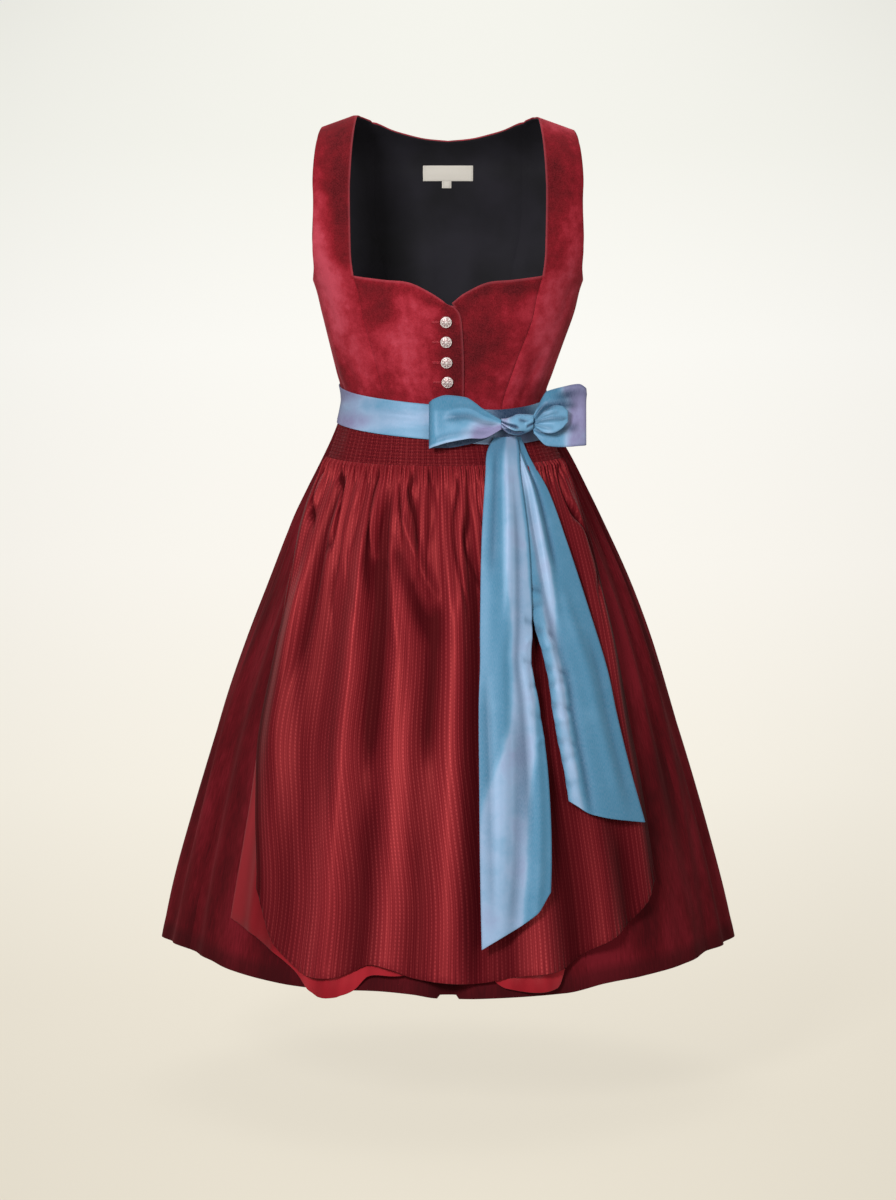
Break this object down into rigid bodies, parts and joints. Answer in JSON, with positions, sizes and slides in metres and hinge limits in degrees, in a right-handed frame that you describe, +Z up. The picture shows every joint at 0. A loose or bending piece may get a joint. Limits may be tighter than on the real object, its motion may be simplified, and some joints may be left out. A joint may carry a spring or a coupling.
{
  "type": "dirndl",
  "caption": "Knee length dirndl with sweetheart velvet bodice, gathered skirt, shirred striped apron and taffeta bow, hollow as worn.",
  "frame": {"origin": "midway between the tops of the two shoulder straps, where the wearer's shoulders carry the dress", "axes": "+Z up, -Y the front of the dress, +X the wearer's left"},
  "size_m": [0.7124, 0.6142, 1.0364],
  "materials": {
    "velvet": "short pile velvet, wine red, soft sheen",
    "lining": "plain dark navy lining, faint twill",
    "label_cloth": "bare woven label",
    "button_metal": "aged silver filigree",
    "skirt_cloth": "matte wine red cloth, faint lengthwise streaks",
    "apron_satin": "plain bright red satin",
    "apron_jacquard": "satin striped jacquard, lengthwise dotted stripes",
    "taffeta": "changeant taffeta, blue shot with lilac"
  },
  "bodies": {
    "root": {"front_right": "velvet", "front_left": "velvet", "side_front_right": "velvet", "side_front_left": "velvet", "side_back_right": "velvet", "side_back_left": "velvet", "back_centre": "velvet", "lining_front_right": "lining", "lining_front_left": "lining", "lining_side_front_right": "lining", "lining_side_front_left": "lining", "lining_side_back_right": "lining", "lining_side_back_left": "lining", "lining_back_centre": "lining", "neck_label": "label_cloth", "size_tab": "label_cloth", "button_1": "button_metal", "button_2": "button_metal", "button_3": "button_metal", "button_4": "button_metal", "skirt_front": "skirt_cloth", "skirt_side_left": "skirt_cloth", "skirt_back": "skirt_cloth", "skirt_side_right": "skirt_cloth", "apron_underlayer": "apron_satin", "apron": "apron_jacquard", "apron_band": "apron_jacquard", "waist_sash": "taffeta", "bow_loop_right": "taffeta", "bow_loop_left": "taffeta", "bow_fold": "taffeta", "bow_knot": "taffeta", "bow_tail_long": "taffeta", "bow_tail_short": "taffeta"}
  },
  "joints": []
}
